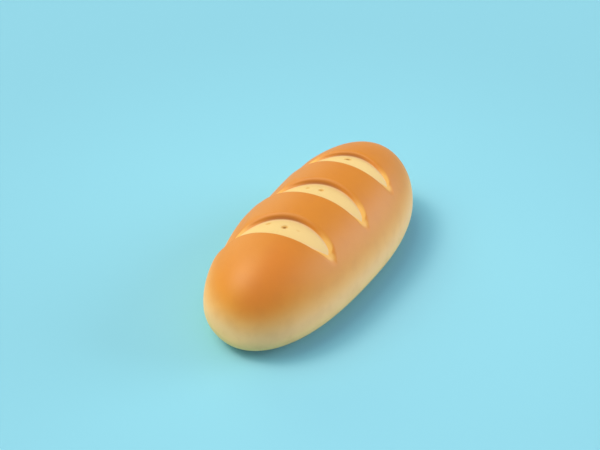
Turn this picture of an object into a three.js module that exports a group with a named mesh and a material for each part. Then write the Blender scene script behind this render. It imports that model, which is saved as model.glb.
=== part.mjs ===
// A short, plump white loaf with three slanting scores across its crown, baked as one piece.
//
// Millimetres, +Z up. The loaf lies along X with its baked-flat underside on z = 0, and the origin
// is the middle of that underside. +Y is its left side, the side that the scores lean back from.
import * as THREE from "three";
import { mergeVertices } from "three/addons/utils/BufferGeometryUtils.js";

// The whole loaf.
const LENGTH = 250;
const WIDTH = 118; // before the sway
const HEIGHT = 82;
const WIDEST_LEVEL = 23; // the loaf is widest this far above its underside
const SAG = 6; // how far the belly would reach below z = 0 if the baking tray didn't flatten it
const BASE_ROUND = 1.5; // how far above and below z = 0 the edge of the flat underside is rounded
const PLAN_POWER = 2.45; // fullness of the ends seen from above: 2 is an ellipse, more is squarer
const CREST_POWER = 2.95; // fullness of the ends seen from the side, above the widest level
const BELLY_POWER = 3.35; // and below it

// The loaf bulges a little to the right: where, over what length, and how far. Its ends lie to the
// left, which keeps the middle of its whole width on y = 0.
const SWAY = { at: 25, length: 45, right: 1.3, left: 0.92 };

// The scores. Each is cut from one side of the crown to the other, and opened in the oven: its
// first edge stays nearly straight, and its second edge bows away from it.
//   at, lean        where the first edge crosses the crest, and its slant in degrees
//   reach, crumb    how far the open crumb reaches to each side, and its greatest width
//   depth           the groove's greatest depth
//   curl            how far the first edge curls forward at its right end
//   fade, slope     on the left, how far the groove runs on past the crumb, and how long the
//                   slope beyond it is there
const SCORES = [
  { at: -61, lean: 15, reach: 38.5, crumb: 22.5, depth: 5, curl: 4.5, fade: 50, slope: 42 },
  { at: -5, lean: 9.5, reach: 41.5, crumb: 20.6, depth: 5.3, curl: 1.5, fade: 27, slope: 54 },
  { at: 46.5, lean: 7.5, reach: 38, crumb: 19.8, depth: 4.6, curl: 3, fade: 10, slope: 18 },
];

// How the scores end on each side.
//   tip, power      how sharp the crumb's tip is, and how quickly the groove gets shallower
//   end, wall       how late the soft end starts, and how wide the first wall is there
//   join, low       on the left, how softly the long slope joins the crust, and the turn around
//                   the loaf, in degrees, that the groove fades out below
//   lip, fade       on the right, how sharply the second wall closes round the crumb's tip, and
//                   how far the groove runs on past it
const LEFT = { tip: 0.6, power: 0.53, end: 6, wall: 7, join: 1.25, low: 18 };
const RIGHT = { tip: 0.62, power: 0.85, end: 4, wall: 5.5, lip: 0.8, fade: 6 };
const FIRST_WALL = 1.5; // widths of the two walls in plan, halfway along a score
const SECOND_WALL = 5;
const LIP_POWER = 2.3; // roundness of the second wall's lip: 2 is a quarter of an ellipse

// The mesh.
const SIDES = 64; // around the loaf
const END_STEPS = 11; // from each pole to the nearest score
const CRUST_STEPS = 3; // between one score and the next
const FIRST_WALL_STEPS = 2;
const CRUMB_STEPS = 2;
const SECOND_WALL_STEPS = 4;
const CRUST_MARGIN = 6; // a mesh line follows each side of a score this far from its edge
const WIDEST_WALL = 12; // and follows the second wall no further out than this

const CRUST = { color: 0xdb8f45, roughness: 0.55, metalness: 0 };

const clamp = THREE.MathUtils.clamp;
const lerp = THREE.MathUtils.lerp;
const smooth = (share) => THREE.MathUtils.smoothstep(share, 0, 1);

// The share of the full section that is left at x, for an outline of the given power.
function fullness(x, power) {
  const share = clamp(Math.abs(x) / (LENGTH / 2), 0, 1);
  return Math.pow(1 - Math.pow(share, power), 1 / power);
}

// A place along the loaf as an angle, -90 to 90 degrees from pole to pole, and back. Even steps of
// the angle crowd the mesh towards the poles, where the outline turns fastest.
function placeOf(angle) {
  const share = Math.pow(Math.abs(Math.sin(angle)), 2 / PLAN_POWER);
  return (Math.sign(angle) * share * LENGTH) / 2;
}

function angleOf(x) {
  const share = clamp(Math.abs(x) / (LENGTH / 2), 0, 1);
  return Math.sign(x) * Math.asin(Math.pow(share, PLAN_POWER / 2));
}

// How far across the loaf a turn around it lies at a score, positive to the left.
function acrossAt(score, turn) {
  return (WIDTH / 2) * fullness(score.at, PLAN_POWER) * Math.cos(turn);
}

// Round at the lip and upright at the foot, as a crust that curls over a cut.
function roll(share) {
  return 1 - Math.pow(1 - Math.pow(clamp(share, 0, 1), LIP_POWER), 1 / LIP_POWER);
}

// A score where it crosses the given turn: where its crumb starts, how wide its crumb and its two
// walls are in plan, how deep its groove is, and how much this is one of its soft ends.
function cutAt(score, turn) {
  const across = acrossAt(score, turn);
  const isLeft = across > 0;
  const side = isLeft ? LEFT : RIGHT;
  const fade = isLeft ? score.fade : RIGHT.fade;
  const share = Math.sin(turn) > 0 ? clamp(Math.abs(across) / score.reach, 0, 1) : 1;
  const groove = 1 - clamp(Math.abs(across) / (score.reach + fade), 0, 1) ** 2;
  const end = Math.pow(share, side.end);
  const crumb = score.crumb * Math.pow(1 - share * share, side.tip);
  const low = isLeft ? smooth(THREE.MathUtils.radToDeg(turn) / LEFT.low) : 1;
  const straight = score.at - across * Math.tan(THREE.MathUtils.degToRad(score.lean));
  const lens = (score.crumb + SECOND_WALL) * Math.pow(groove, RIGHT.lip);
  return {
    foot: straight + FIRST_WALL + (isLeft ? 0 : score.curl * end),
    crumb,
    first: lerp(FIRST_WALL, side.wall, end),
    second: Math.max(isLeft ? lerp(SECOND_WALL, score.slope, end) : lens - crumb, FIRST_WALL),
    depth: score.depth * Math.pow(groove, side.power) * low,
    end,
    isLeft,
  };
}

// How deep the scores have lowered the crust at a place along the loaf and a turn around it.
function depthAt(x, turn) {
  if (Math.sin(turn) <= 0) return 0;
  let deepest = 0;
  for (const score of SCORES) {
    const { foot, crumb, first, second, depth, end, isLeft } = cutAt(score, turn);
    const fall = smooth((x - foot) / first + 1);
    const up = clamp(1 - (x - foot - crumb) / second, 0, 1);
    const slope = isLeft ? Math.pow(up, LEFT.join) : smooth(up);
    deepest = Math.max(deepest, depth * fall * lerp(roll(up), slope, end));
  }
  return deepest;
}

// The mesh lines that follow one score at a turn, each with the number of steps that lead up to it
// from the line before. The first is before its first edge, and the last is past its second.
function linesAt(score, turn) {
  const { foot, crumb, first, second } = cutAt(score, turn);
  const far = foot + Math.max(crumb, FIRST_WALL);
  const lip = far + Math.min(second, WIDEST_WALL);
  return [
    { x: foot - first - CRUST_MARGIN, steps: CRUST_STEPS },
    { x: foot - first, steps: 1 },
    { x: foot, steps: FIRST_WALL_STEPS },
    { x: far, steps: CRUMB_STEPS },
    { x: lip, steps: SECOND_WALL_STEPS },
    { x: lip + CRUST_MARGIN, steps: 1 },
  ];
}

// The places along the loaf of every ring of the mesh where it crosses a turn, pole to pole.
function placesAt(turn) {
  const angles = [-Math.PI / 2];
  const stepTo = (angle, steps) => {
    const start = angles.at(-1);
    for (let i = 1; i <= steps; i++) angles.push(lerp(start, angle, i / steps));
  };
  const lines = SCORES.flatMap((score) => linesAt(score, turn));
  lines.forEach(({ x, steps }, i) => stepTo(angleOf(x), i === 0 ? END_STEPS : steps));
  stepTo(Math.PI / 2, END_STEPS);
  return angles.map(placeOf);
}

// How far to the left the middle of the loaf lies at a place along it.
function swayAt(x) {
  return SWAY.left - SWAY.right * Math.exp(-(((x - SWAY.at) / SWAY.length) ** 2));
}

// The underside is flat where the belly would reach below z = 0, with a rounded edge.
function rest(z) {
  if (z >= BASE_ROUND) return z;
  if (z <= -BASE_ROUND) return 0;
  return (z + BASE_ROUND) ** 2 / (4 * BASE_ROUND);
}

// The point of the crust at a place along the loaf and a turn around it. Turn 0 faces +Y, and a
// quarter turn is the crest.
function crustPoint(x, turn) {
  const depth = depthAt(x, turn);
  const side = (WIDTH / 2) * fullness(x, PLAN_POWER) - depth;
  const above = (HEIGHT - WIDEST_LEVEL) * fullness(x, CREST_POWER) - depth;
  const below = (WIDEST_LEVEL + SAG) * fullness(x, BELLY_POWER);
  const up = Math.sin(turn);
  const level = WIDEST_LEVEL + up * (up > 0 ? above : below);
  return new THREE.Vector3(x, side * Math.cos(turn) + swayAt(x), rest(level));
}

// A sphere with its poles at the two ends of the loaf, each of its points moved onto the crust. Its
// faces point outwards when its first ring is at the +X end.
function loafGeometry() {
  const turns = Array.from({ length: SIDES + 1 }, (_, i) => ((i % SIDES) * 2 * Math.PI) / SIDES);
  const places = turns.map(placesAt);
  const rings = places[0].length;
  const geometry = new THREE.SphereGeometry(1, SIDES, rings - 1);
  const points = geometry.getAttribute("position");
  turns.forEach((turn, side) => {
    places[side].reverse().forEach((x, ring) => {
      points.setXYZ(ring * turns.length + side, ...crustPoint(x, turn));
    });
  });
  geometry.deleteAttribute("normal");
  geometry.deleteAttribute("uv");
  const closed = mergeVertices(geometry);
  closed.computeVertexNormals();
  return closed;
}

const loaf = new THREE.Mesh(loafGeometry(), new THREE.MeshStandardMaterial(CRUST));
loaf.name = "loaf";

const bread = new THREE.Group();
bread.add(loaf);

export default bread;
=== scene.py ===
"""A short, plump loaf with three scores, on a plain pale floor under soft studio light."""

import math

import bmesh
import bpy
from mathutils import Matrix, Vector


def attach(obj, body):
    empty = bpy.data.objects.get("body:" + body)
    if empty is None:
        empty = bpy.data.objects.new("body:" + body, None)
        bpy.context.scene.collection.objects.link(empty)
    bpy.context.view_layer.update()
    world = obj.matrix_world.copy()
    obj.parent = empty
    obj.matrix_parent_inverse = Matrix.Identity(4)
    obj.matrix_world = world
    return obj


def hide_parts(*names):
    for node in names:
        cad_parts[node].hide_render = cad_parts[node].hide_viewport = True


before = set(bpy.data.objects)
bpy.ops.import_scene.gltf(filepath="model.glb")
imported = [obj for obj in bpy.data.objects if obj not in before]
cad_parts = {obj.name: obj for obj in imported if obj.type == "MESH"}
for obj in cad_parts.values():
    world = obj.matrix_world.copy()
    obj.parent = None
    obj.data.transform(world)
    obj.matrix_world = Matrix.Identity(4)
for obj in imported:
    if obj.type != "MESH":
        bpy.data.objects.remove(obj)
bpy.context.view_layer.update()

MM = 0.001

# ------------------------------------------------------------------ the loaf, in millimetres

LENGTH = 250.0
WIDTH = 118.0  # before the sway
HEIGHT = 82.0
WIDEST_LEVEL = 23.0  # the loaf is widest this far above its underside
SAG = 6.0  # how far the belly would reach below the floor if the baking tray didn't flatten it
BASE_ROUND = 1.5  # how far above and below the floor the edge of the flat underside is rounded
PLAN_POWER = 2.45  # fullness of the ends seen from above: 2 is an ellipse, more is squarer
CREST_POWER = 2.95  # fullness of the ends seen from the side, above the widest level
BELLY_POWER = 3.35  # and below it
SWAY_AT = 25.0  # the loaf bulges a little to the right here
SWAY_LENGTH = 45.0
SWAY_RIGHT = 1.3  # how far it bulges
SWAY_LEFT = 0.92  # how far to the left its ends lie

# Each score: where its first edge crosses the crest and its lean in degrees; how far its crumb
# reaches to each side and its greatest width; its depth; how far its first edge curls forward at
# its right end; and, on the left, how far the groove runs on past the crumb and how long the
# slope beyond it is there.
SCORES = (
    {
        "at": -61.0, "lean": 15.0, "reach": 38.5, "crumb": 22.5, "depth": 5.0,
        "curl": 4.5, "fade": 50.0, "slope": 42.0,
    },
    {
        "at": -5.0, "lean": 9.5, "reach": 41.5, "crumb": 20.6, "depth": 5.3,
        "curl": 1.5, "fade": 27.0, "slope": 54.0,
    },
    {
        "at": 46.5, "lean": 7.5, "reach": 38.0, "crumb": 19.8, "depth": 4.6,
        "curl": 3.0, "fade": 10.0, "slope": 18.0,
    },
)
LEFT_TIP = 0.6  # sharpness of the crumb's two tips
RIGHT_TIP = 0.62
LEFT_END = 6  # how late along the score its soft ends start
RIGHT_END = 4
LEFT_LOW = 18.0  # on the left the groove fades out from this turn down to turn 0, in degrees
RIGHT_FADE = 6.0  # on the right the groove runs on this far past the crumb
LEFT_POWER = 0.53  # how quickly the groove gets shallower along its run to each side
RIGHT_POWER = 0.85
FIRST_WALL = 1.5  # width of the first wall in plan, halfway along the score and at its ends
FIRST_WALL_LEFT = 7.0
FIRST_WALL_RIGHT = 5.5
SECOND_WALL = 5.0  # width of the second wall halfway along the score
LIP_POWER = 2.3  # roundness of the second wall's lip: 2 is a quarter of an ellipse
RIGHT_LIP = 0.8  # sharpness of that lip where it closes round the crumb's right tip
LEFT_SLOPE = 1.25  # how softly the long slope on the left joins the crust
GOLDEN_WIDTH = 6.5  # the crust is paler this far beyond the crumb's tips
GOLDEN_DEPTH = 2.0  # fully so where the groove is this deep
GOLDEN_LOW = 40.0  # and on the left it darkens again from this turn down to turn 0, in degrees
WALL_SHADE_AT = 3.0  # the second wall's painted shade, in the crease under its lip over a browner baked edge, is deepest this far to the left of the crest
WALL_SHADE_REACH = 0.62  # and out to this share of the crumb's reach

# Bubbles in the crumb: score, place across the loaf, share of the crumb's width, radius, depth,
# stretch across the loaf, and how brown each one is.
BUBBLES = (
    (0, -0.6, 0.60, 3.0, 1.2, 1.3, 1.0),
    (0, 14.5, 0.80, 2.1, 0.4, 1.8, 0.5),
    (0, 1.4, 0.30, 1.3, 0.3, 1.6, 0.2),
    (0, -12.0, 0.60, 1.7, 0.3, 2.0, 0.3),
    (1, 0.2, 0.64, 2.7, 0.9, 1.4, 0.75),
    (1, 13.0, 0.70, 2.0, 0.4, 1.6, 0.55),
    (2, 4.6, 0.70, 2.5, 0.8, 2.2, 0.95),
)

# ------------------------------------------------------------------ the mesh

CROWN_SIDES = 190  # around the upper half
BELLY_SIDES = 90  # around the lower half
END_STEPS = 44  # from each pole to the nearest score
CRUST_STEPS = 14  # between one score and the next
SCORE_STEPS = (8, 6, 40, 10, 8)  # before the first edge, first wall, crumb, second wall, after
CRUST_MARGIN = 6.0  # rings follow each side of a score this far from its edge
WIDEST_WALL = 12.0  # and follow the second wall no further out than this


def clamp(value, lowest=0.0, highest=1.0):
    return max(lowest, min(highest, value))


def mix(first, second, share):
    return first + (second - first) * share


def smooth(share):
    share = clamp(share)
    return share * share * (3 - 2 * share)


def fullness(x, power):
    """The share of the full section that is left at x, for an outline of the given power."""
    share = clamp(abs(x) / (LENGTH / 2))
    return (1 - share**power) ** (1 / power)


def place_of(angle):
    """A place along the loaf from its angle, which is -90 to 90 degrees from pole to pole."""
    share = abs(math.sin(angle)) ** (2 / PLAN_POWER)
    return math.copysign(share * LENGTH / 2, angle)


def angle_of(x):
    share = clamp(abs(x) / (LENGTH / 2))
    return math.copysign(math.asin(share ** (PLAN_POWER / 2)), x)


def across_at(score, turn):
    """How far across the loaf a turn around it lies at a score, positive to the left."""
    return WIDTH / 2 * fullness(score["at"], PLAN_POWER) * math.cos(turn)


def roll(share):
    """Round at the lip and upright at the foot, as a crust that curls over a cut."""
    return 1 - (1 - clamp(share) ** LIP_POWER) ** (1 / LIP_POWER)


def cut_at(score, turn):
    """A score where it crosses a turn, in plan.

    It says where the crumb starts and how wide it is, how wide the walls on both sides of it are,
    how deep the groove is, and how much this is one of its soft ends.
    """
    across = across_at(score, turn)
    share = clamp(abs(across) / score["reach"]) if math.sin(turn) > 0 else 1.0
    fade = score["fade"] if across > 0 else RIGHT_FADE
    groove = 1 - clamp(abs(across) / (score["reach"] + fade)) ** 2
    foot = score["at"] - across * math.tan(math.radians(score["lean"])) + FIRST_WALL
    if across > 0:
        end = share**LEFT_END
        crumb = score["crumb"] * (1 - share * share) ** LEFT_TIP
        first = mix(FIRST_WALL, FIRST_WALL_LEFT, end)
        second = mix(SECOND_WALL, score["slope"], end)
        low = smooth(math.degrees(turn) / LEFT_LOW)
        depth = score["depth"] * groove**LEFT_POWER * low
    else:
        end = share**RIGHT_END
        crumb = score["crumb"] * (1 - share * share) ** RIGHT_TIP
        first = mix(FIRST_WALL, FIRST_WALL_RIGHT, end)
        second = (score["crumb"] + SECOND_WALL) * groove**RIGHT_LIP - crumb
        depth = score["depth"] * groove**RIGHT_POWER
        foot += score["curl"] * end
    return foot, crumb, first, max(second, FIRST_WALL), depth, end


def groove_at(x, turn):
    """What the scores do to the crust at a place.

    It gives the depth of the groove there, how far inside the crumb the place is, and how much it
    belongs to the groove's pale ends and to the painted shade over its second wall's baked edge.
    """
    deepest, inside, golden, wall_shade = 0.0, -CRUST_MARGIN, 0.0, 0.0
    if math.sin(turn) <= 0:
        return deepest, inside, golden, wall_shade
    for score in SCORES:
        foot, crumb, first, second, depth, end = cut_at(score, turn)
        if not -CRUST_MARGIN < x - foot < crumb + second + CRUST_MARGIN:
            continue
        across = across_at(score, turn)
        beyond = x - foot - crumb
        fall = smooth((x - foot) / first + 1)
        up = clamp(1 - beyond / second)
        slope = up**LEFT_SLOPE if across > 0 else smooth(up)
        rise = mix(roll(up), slope, end)
        deepest = max(deepest, depth * fall * rise)
        pale = end * smooth(depth / GOLDEN_DEPTH) * smooth(math.degrees(turn) / GOLDEN_LOW)
        golden = max(golden, pale * fall * smooth(1 - beyond / GOLDEN_WIDTH))
        # Painted shade on the second wall, in the crease under its lip, over a browner baked edge.
        shaded_wall = clamp(1 - ((across - WALL_SHADE_AT) / (WALL_SHADE_REACH * score["reach"])) ** 2)
        wall_shade = max(wall_shade, shaded_wall * fall * rise)
        edge = min(x - foot, -beyond)
        if abs(across) > score["reach"]:
            edge = -math.hypot(edge, abs(across) - score["reach"])
        inside = max(inside, edge)
    return deepest, inside, golden, wall_shade


def bubbles_at(x, turn):
    """Depth and brownness of the crumb's bubbles at a place."""
    depth = brown = 0.0
    if math.sin(turn) <= 0:
        return depth, brown
    for index, across, share, radius, deep, stretch, tone in BUBBLES:
        score = SCORES[index]
        if abs(x - score["at"]) > 2 * score["crumb"]:
            continue
        foot, crumb, *_ = cut_at(score, turn)
        middle = foot + crumb * share
        distance = math.hypot(x - middle, (across_at(score, turn) - across) / stretch) / radius
        dish = 1 - smooth(distance)
        depth = max(depth, deep * dish)
        brown = max(brown, tone * dish)
    return depth, brown


def sway(x):
    """How far the loaf's middle line strays to the left at a place along it."""
    return SWAY_LEFT - SWAY_RIGHT * math.exp(-(((x - SWAY_AT) / SWAY_LENGTH) ** 2))


def rest(z):
    """The underside is flat where the belly would reach below the floor."""
    if z >= BASE_ROUND:
        return z
    if z <= -BASE_ROUND:
        return 0.0
    return (z + BASE_ROUND) ** 2 / (4 * BASE_ROUND)


def crust_point(x, turn, depth):
    """Turn 0 faces +Y, and a quarter turn is the crest."""
    side = WIDTH / 2 * fullness(x, PLAN_POWER) - depth
    crest = fullness(x, CREST_POWER)
    above = (HEIGHT - WIDEST_LEVEL) * crest - depth
    below = (WIDEST_LEVEL + SAG) * fullness(x, BELLY_POWER)
    up = math.sin(turn)
    level = WIDEST_LEVEL + up * (above if up > 0 else below)
    return Vector((x, side * math.cos(turn) + sway(x), rest(level)))


def lines_at(score, turn):
    """Places along the loaf that follow one score, each with the steps that lead up to it."""
    foot, crumb, first, second, *_ = cut_at(score, turn)
    far = foot + max(crumb, FIRST_WALL)
    start = foot - first - CRUST_MARGIN
    lip = far + min(second, WIDEST_WALL)
    ends = (foot - first, foot, far, lip, lip + CRUST_MARGIN)
    return start, list(zip(ends, SCORE_STEPS))


def places_at(turn):
    """Places along the loaf of every ring where it crosses a turn, from pole to pole."""
    angles = [-math.pi / 2]

    def step_to(angle, steps):
        first = angles[-1]
        angles.extend(mix(first, angle, (i + 1) / steps) for i in range(steps))

    for index, score in enumerate(SCORES):
        start, lines = lines_at(score, turn)
        step_to(angle_of(start), END_STEPS if index == 0 else CRUST_STEPS)
        for x, steps in lines:
            step_to(angle_of(x), steps)
    step_to(math.pi / 2, END_STEPS)
    return [place_of(angle) for angle in angles]


def turn_of(side):
    if side < CROWN_SIDES:
        return math.pi * side / CROWN_SIDES
    return math.pi + math.pi * (side - CROWN_SIDES) / BELLY_SIDES


def make_loaf():
    """A sphere with its poles at the ends of the loaf, each of its points moved onto the crust."""
    sides = CROWN_SIDES + BELLY_SIDES
    turns = [turn_of(side) for side in range(sides)]
    places = [places_at(turn) for turn in turns]
    rings = len(places[0]) - 1
    dough = bmesh.new()
    bmesh.ops.create_uvsphere(dough, u_segments=sides, v_segments=rings, radius=1)
    inset = dough.verts.layers.float.new("crumb_inset")
    groove_end = dough.verts.layers.float.new("groove_end")
    # The painted shade on each score's second wall.
    shaded_wall = dough.verts.layers.float.new("wall")
    browned = dough.verts.layers.float.new("bubble")
    for point in dough.verts:
        ring = round(math.acos(clamp(point.co.z, -1, 1)) / math.pi * rings)
        side = round(math.atan2(point.co.y, point.co.x) / (2 * math.pi) * sides) % sides
        x, turn = places[side][rings - ring], turns[side]
        depth, point[inset], point[groove_end], point[shaded_wall] = groove_at(x, turn)
        hole, point[browned] = bubbles_at(x, turn)
        point.co = crust_point(x, turn, depth + hole) * MM
    mesh = bpy.data.meshes.new("baguette_loaf")
    dough.to_mesh(mesh)
    dough.free()
    mesh.shade_smooth()
    loaf = bpy.data.objects.new("baguette_loaf", mesh)
    bpy.context.scene.collection.objects.link(loaf)
    return loaf


# ------------------------------------------------------------------ materials


def srgb(code):
    """A colour from its six hex digits, in linear light."""
    parts = [int(code[i : i + 2], 16) / 255 for i in (0, 2, 4)]
    return tuple(p / 12.92 if p <= 0.04045 else ((p + 0.055) / 1.055) ** 2.4 for p in parts) + (1,)


# The crust from the underside to the top of the crown, by share of the loaf's height.
CRUST_COLOURS = (
    (0.0, srgb("EDC878")),
    (0.24, srgb("F5C87A")),
    (0.37, srgb("F9C580")),
    (0.46, srgb("F4B766")),
    (0.56, srgb("E79F42")),
    (0.66, srgb("D98713")),
    (0.76, srgb("D18011")),
    (1.0, srgb("C67808")),
)
# Painted shade on the crown just right of the crest towards one end, where it turns from the key
# light.
SHOULDER_SHADE_COLOUR = srgb("CB6E0E")
GOLDEN_COLOUR = srgb("E8AE4C")
MOTTLE_COLOUR = srgb("B4641A")
# Painted shade in the crease under each score's lip, over its browner baked edge.
WALL_SHADE_COLOUR = srgb("A8641A")
CRUMB_EDGE_COLOUR = srgb("DBBA80")
CRUMB_COLOUR = srgb("DBBC76")
BUBBLE_RIM_COLOUR = srgb("D0A050")
BUBBLE_COLOUR = srgb("8A5A1C")
FLOOR_COLOUR = srgb("86C4CD")  # around the loaf
# Painted shade: the floor is darker towards the edges of the view.
FAR_FLOOR_SHADE_COLOUR = srgb("80BBC4")

# Where the crust takes a browner colour, from higher up its ramp, at one end of the loaf on its
# right.
# Each pair says where the change starts and where it is complete, in metres along the loaf or
# across it.
BROWN_ALONG = (-0.085, -0.12)
BROWN_SIDE = (0.02, -0.01)
BROWN_RISE = 0.05  # it looks as if it lay this share of the loaf's height further up
# Painted shade on the crown just right of its crest towards one end.
SHOULDER_SHADE_ALONG = (-0.04, -0.085)
SHOULDER_SHADE_OUTER = (-0.045, -0.022)
SHOULDER_SHADE_INNER = (0.004, -0.014)
SHOULDER_SHADE_LEVEL = (0.5, 0.75)  # in shares of the loaf's height
SHOULDER_SHADE_SHARE = 0.5

MOTTLE_GRAIN = 11.0  # millimetres
MOTTLE_RANGE = (0.42, 0.72)  # of the noise
MOTTLE_SHARE = 0.09
GRAIN = 1.2  # of the crust's and the crumb's fine bumps, in millimetres
GRAIN_DEPTH = 0.1
CRUMB_RIM = 0.15  # half the width of the line between crust and crumb, in millimetres
CRUMB_EDGE = 3.0  # the crumb is warmer this far from its edge, in millimetres
CRUST_ROUGHNESS = 0.52
CRUMB_ROUGHNESS = 0.85
SHINE = 0.6
SHINE_TINT = (1.0, 0.89, 0.78, 1.0)
FLOOR_SHADE_CHANGE = (0.08, 0.45)  # the floor's painted shade deepens between these distances, in metres
FLOOR_ROUGHNESS = 0.9
FLOOR_SHINE = 0.1


class Recipe:
    """A material's node tree, with short calls for the nodes that it needs."""

    def __init__(self, name):
        self.material = bpy.data.materials.new(name)
        self.material.use_nodes = True
        self.nodes = self.material.node_tree.nodes
        self.links = self.material.node_tree.links
        self.shader = self.nodes["Principled BSDF"]

    def put(self, value, socket):
        if isinstance(value, bpy.types.NodeSocket):
            self.links.new(value, socket)
        else:
            socket.default_value = value

    def node(self, kind, **settings):
        node = self.nodes.new(kind)
        for name, value in settings.items():
            setattr(node, name, value)
        return node

    def attribute(self, name):
        return self.node("ShaderNodeAttribute", attribute_name=name).outputs["Fac"]

    def coordinates(self):
        return self.node("ShaderNodeTexCoord").outputs["Object"]

    def math(self, operation, first, second):
        node = self.node("ShaderNodeMath", operation=operation)
        self.put(first, node.inputs[0])
        self.put(second, node.inputs[1])
        return node.outputs[0]

    def ranged(self, value, start, end, low=0.0, high=1.0, kind="SMOOTHSTEP"):
        node = self.node("ShaderNodeMapRange", interpolation_type=kind)
        for name, given in zip(
            ("Value", "From Min", "From Max", "To Min", "To Max"), (value, start, end, low, high)
        ):
            self.put(given, node.inputs[name])
        return node.outputs[0]

    def noise(self, grain, detail=3.0):
        """Noise whose lumps are about this many millimetres across, from 0 to 1."""
        node = self.node("ShaderNodeTexNoise", noise_dimensions="3D")
        self.put(self.coordinates(), node.inputs["Vector"])
        node.inputs["Scale"].default_value = 1 / (grain * MM)
        node.inputs["Detail"].default_value = detail
        return node.outputs["Fac"]

    def ramp(self, value, stops):
        node = self.node("ShaderNodeValToRGB")
        node.color_ramp.interpolation = "B_SPLINE"
        elements = node.color_ramp.elements
        while len(elements) < len(stops):
            elements.new(0.5)
        for element, (place, colour) in zip(elements, stops):
            element.position = place
            element.color = colour
        self.put(value, node.inputs["Fac"])
        return node.outputs["Color"]

    def blend(self, share, first, second):
        node = self.node("ShaderNodeMix", data_type="RGBA")
        self.put(share, node.inputs["Factor"])
        self.put(first, node.inputs["A"])
        self.put(second, node.inputs["B"])
        return node.outputs["Result"]

    def bump(self, height, distance):
        node = self.node("ShaderNodeBump")
        node.inputs["Distance"].default_value = distance * MM
        self.put(height, node.inputs["Height"])
        return node.outputs["Normal"]


def crust_colour(bread):
    """Pale where the loaf rested on its tray and golden brown on its crown.

    One end takes a browner colour low down on the right, and has a painted shade on the right of
    its crest.
    """
    separate = bread.node("ShaderNodeSeparateXYZ")
    bread.put(bread.coordinates(), separate.inputs[0])
    along, side, height = separate.outputs
    level = bread.ranged(height, 0.0, HEIGHT * MM, kind="LINEAR")
    # Towards one end, on the right, the colour comes from a little higher up the ramp.
    browner = bread.ranged(along, *BROWN_ALONG, 0.0, BROWN_RISE)
    browner = bread.math("MULTIPLY", browner, bread.ranged(side, *BROWN_SIDE))
    level = bread.math("ADD", level, browner)
    crust = bread.ramp(level, CRUST_COLOURS)
    # Painted shade just right of the crest towards one end.
    outer, inner = bread.ranged(side, *SHOULDER_SHADE_OUTER), bread.ranged(side, *SHOULDER_SHADE_INNER)
    shoulder_shade = bread.math("MULTIPLY", outer, inner)
    towards_end = bread.ranged(along, *SHOULDER_SHADE_ALONG, 0.0, SHOULDER_SHADE_SHARE)
    shoulder_shade = bread.math("MULTIPLY", shoulder_shade, towards_end)
    shoulder_shade = bread.math("MULTIPLY", shoulder_shade, bread.ranged(level, *SHOULDER_SHADE_LEVEL))
    crust = bread.blend(shoulder_shade, crust, SHOULDER_SHADE_COLOUR)
    opened = bread.ranged(bread.attribute("groove_end"), 0.05, 0.5)
    crust = bread.blend(opened, crust, GOLDEN_COLOUR)
    mottle = bread.noise(MOTTLE_GRAIN, 2.0)
    mottle = bread.ranged(mottle, *MOTTLE_RANGE, 0.0, MOTTLE_SHARE)
    crust = bread.blend(mottle, crust, MOTTLE_COLOUR)
    # Painted shade on the scores' second walls.
    wall = bread.ranged(bread.attribute("wall"), 0.1, 0.8)
    return bread.blend(wall, crust, WALL_SHADE_COLOUR)


def crumb_colour(bread, inset):
    """Pale, a little warmer along its edges, and brown in its bubbles."""
    bubble = bread.attribute("bubble")
    crumb = bread.blend(bread.ranged(inset, 0.0, CRUMB_EDGE), CRUMB_EDGE_COLOUR, CRUMB_COLOUR)
    crumb = bread.blend(bread.ranged(bubble, 0.05, 0.45), crumb, BUBBLE_RIM_COLOUR)
    return bread.blend(bread.ranged(bubble, 0.5, 0.95), crumb, BUBBLE_COLOUR)


def loaf_material():
    bread = Recipe("baked_bread")
    inset = bread.attribute("crumb_inset")
    inside = bread.ranged(inset, -CRUMB_RIM, CRUMB_RIM, kind="LINEAR")
    colour = bread.blend(inside, crust_colour(bread), crumb_colour(bread, inset))
    roughness = bread.ranged(inside, 0.0, 1.0, CRUST_ROUGHNESS, CRUMB_ROUGHNESS, "LINEAR")
    bread.put(colour, bread.shader.inputs["Base Color"])
    bread.put(roughness, bread.shader.inputs["Roughness"])
    bread.put(SHINE, bread.shader.inputs["Specular IOR Level"])
    bread.put(SHINE_TINT, bread.shader.inputs["Specular Tint"])
    bread.put(bread.bump(bread.noise(GRAIN), GRAIN_DEPTH), bread.shader.inputs["Normal"])
    return bread.material


def floor_material():
    floor = Recipe("pale_floor")
    distance = floor.node("ShaderNodeVectorMath", operation="LENGTH")
    floor.put(floor.coordinates(), distance.inputs[0])
    # Painted shade, deepening with distance from the loaf.
    shade_falloff = floor.ranged(distance.outputs["Value"], *FLOOR_SHADE_CHANGE)
    colour = floor.blend(shade_falloff, FLOOR_COLOUR, FAR_FLOOR_SHADE_COLOUR)
    floor.put(colour, floor.shader.inputs["Base Color"])
    floor.put(FLOOR_ROUGHNESS, floor.shader.inputs["Roughness"])
    floor.put(FLOOR_SHINE, floor.shader.inputs["Specular IOR Level"])
    return floor.material


# ------------------------------------------------------------------ studio

FLOOR_HALF = 6.0  # metres
SKY = (0.295, 0.395, 0.64)  # its strength in red, green and blue
# Each light: bearing from +X towards +Y and height above the floor, in degrees, how many degrees
# across it looks, and its strength in red, green and blue.
LIGHTS = {
    "key_soft": (117, 60, 46, (1.71, 1.90, 1.47)),
    "key_core": (117, 57, 16, (1.20, 0.74, 0.70)),
    "right_fill": (312, 15, 40, (1.82, 1.88, 2.10)),
    "left_fill": (145, 25, 40, (0.30, 0.32, 0.17)),
    "back_fill": (60, 20, 40, (0.60, 0.62, 0.38)),
    "front_fill": (225, 10, 40, (0.38, 0.08, 0.06)),
}

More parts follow.
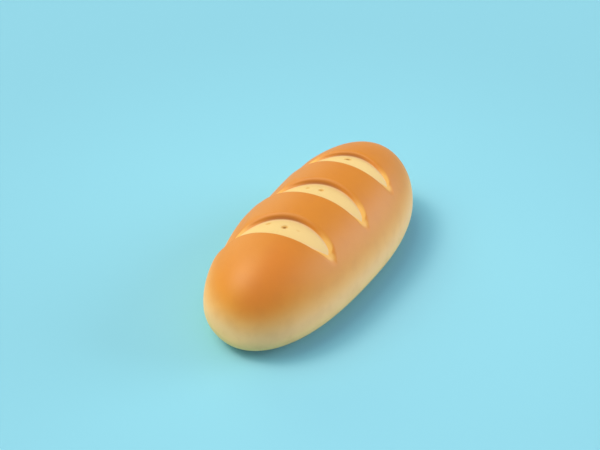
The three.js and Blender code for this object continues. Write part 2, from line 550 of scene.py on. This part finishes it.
# The view, in degrees and metres.
VIEW_DOWN = 38.5  # how steeply it looks down
VIEW_TURN = 31.5  # its bearing, from +X towards +Y
VIEW_DISTANCE = 0.95
VIEW_LENS = 69.0  # millimetres
LOAF_RIGHT = 0.0121  # how far right of the view's middle the loaf's middle is
LOAF_BELOW = 0.0046  # and how far below it


def make_floor():
    plane = bmesh.new()
    bmesh.ops.create_grid(plane, x_segments=1, y_segments=1, size=FLOOR_HALF)
    mesh = bpy.data.meshes.new("floor")
    plane.to_mesh(mesh)
    plane.free()
    floor = bpy.data.objects.new("floor", mesh)
    bpy.context.scene.collection.objects.link(floor)
    mesh.materials.append(floor_material())


def make_lights():
    for name, (bearing, height, spread, strength) in LIGHTS.items():
        lamp = bpy.data.lights.new(name, "SUN")
        lamp.angle = math.radians(spread)
        lamp.energy = max(strength)
        lamp.color = [part / max(strength) for part in strength]
        light = bpy.data.objects.new(name, lamp)
        light.rotation_euler = (math.radians(90 - height), 0, math.radians(bearing + 90))
        bpy.context.scene.collection.objects.link(light)
    world = bpy.data.worlds.new("studio")
    world.use_nodes = True
    sky = world.node_tree.nodes["Background"]
    sky.inputs["Color"].default_value = (*SKY, 1)
    bpy.context.scene.world = world


def make_camera():
    down, turn = math.radians(VIEW_DOWN), math.radians(VIEW_TURN)
    forward = Vector(
        (math.cos(down) * math.cos(turn), math.cos(down) * math.sin(turn), -math.sin(down))
    )
    right = Vector((math.sin(turn), -math.cos(turn), 0.0))
    above = right.cross(forward)
    middle = Vector((0, 0, HEIGHT * MM / 2))
    place = middle - forward * VIEW_DISTANCE - right * LOAF_RIGHT + above * LOAF_BELOW
    camera = bpy.data.objects.new("camera", bpy.data.cameras.new("camera"))
    camera.data.lens = VIEW_LENS
    camera.data.dof.use_dof = False
    camera.matrix_world = (
        Matrix.Translation(place) @ Matrix((right, above, -forward)).transposed().to_4x4()
    )
    bpy.context.scene.collection.objects.link(camera)
    bpy.context.scene.camera = camera


make_camera()
make_lights()
make_floor()
bpy.context.scene.view_settings.view_transform = "Standard"

loaf = make_loaf()
loaf.data.materials.append(loaf_material())
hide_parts("loaf")
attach(loaf, "root")
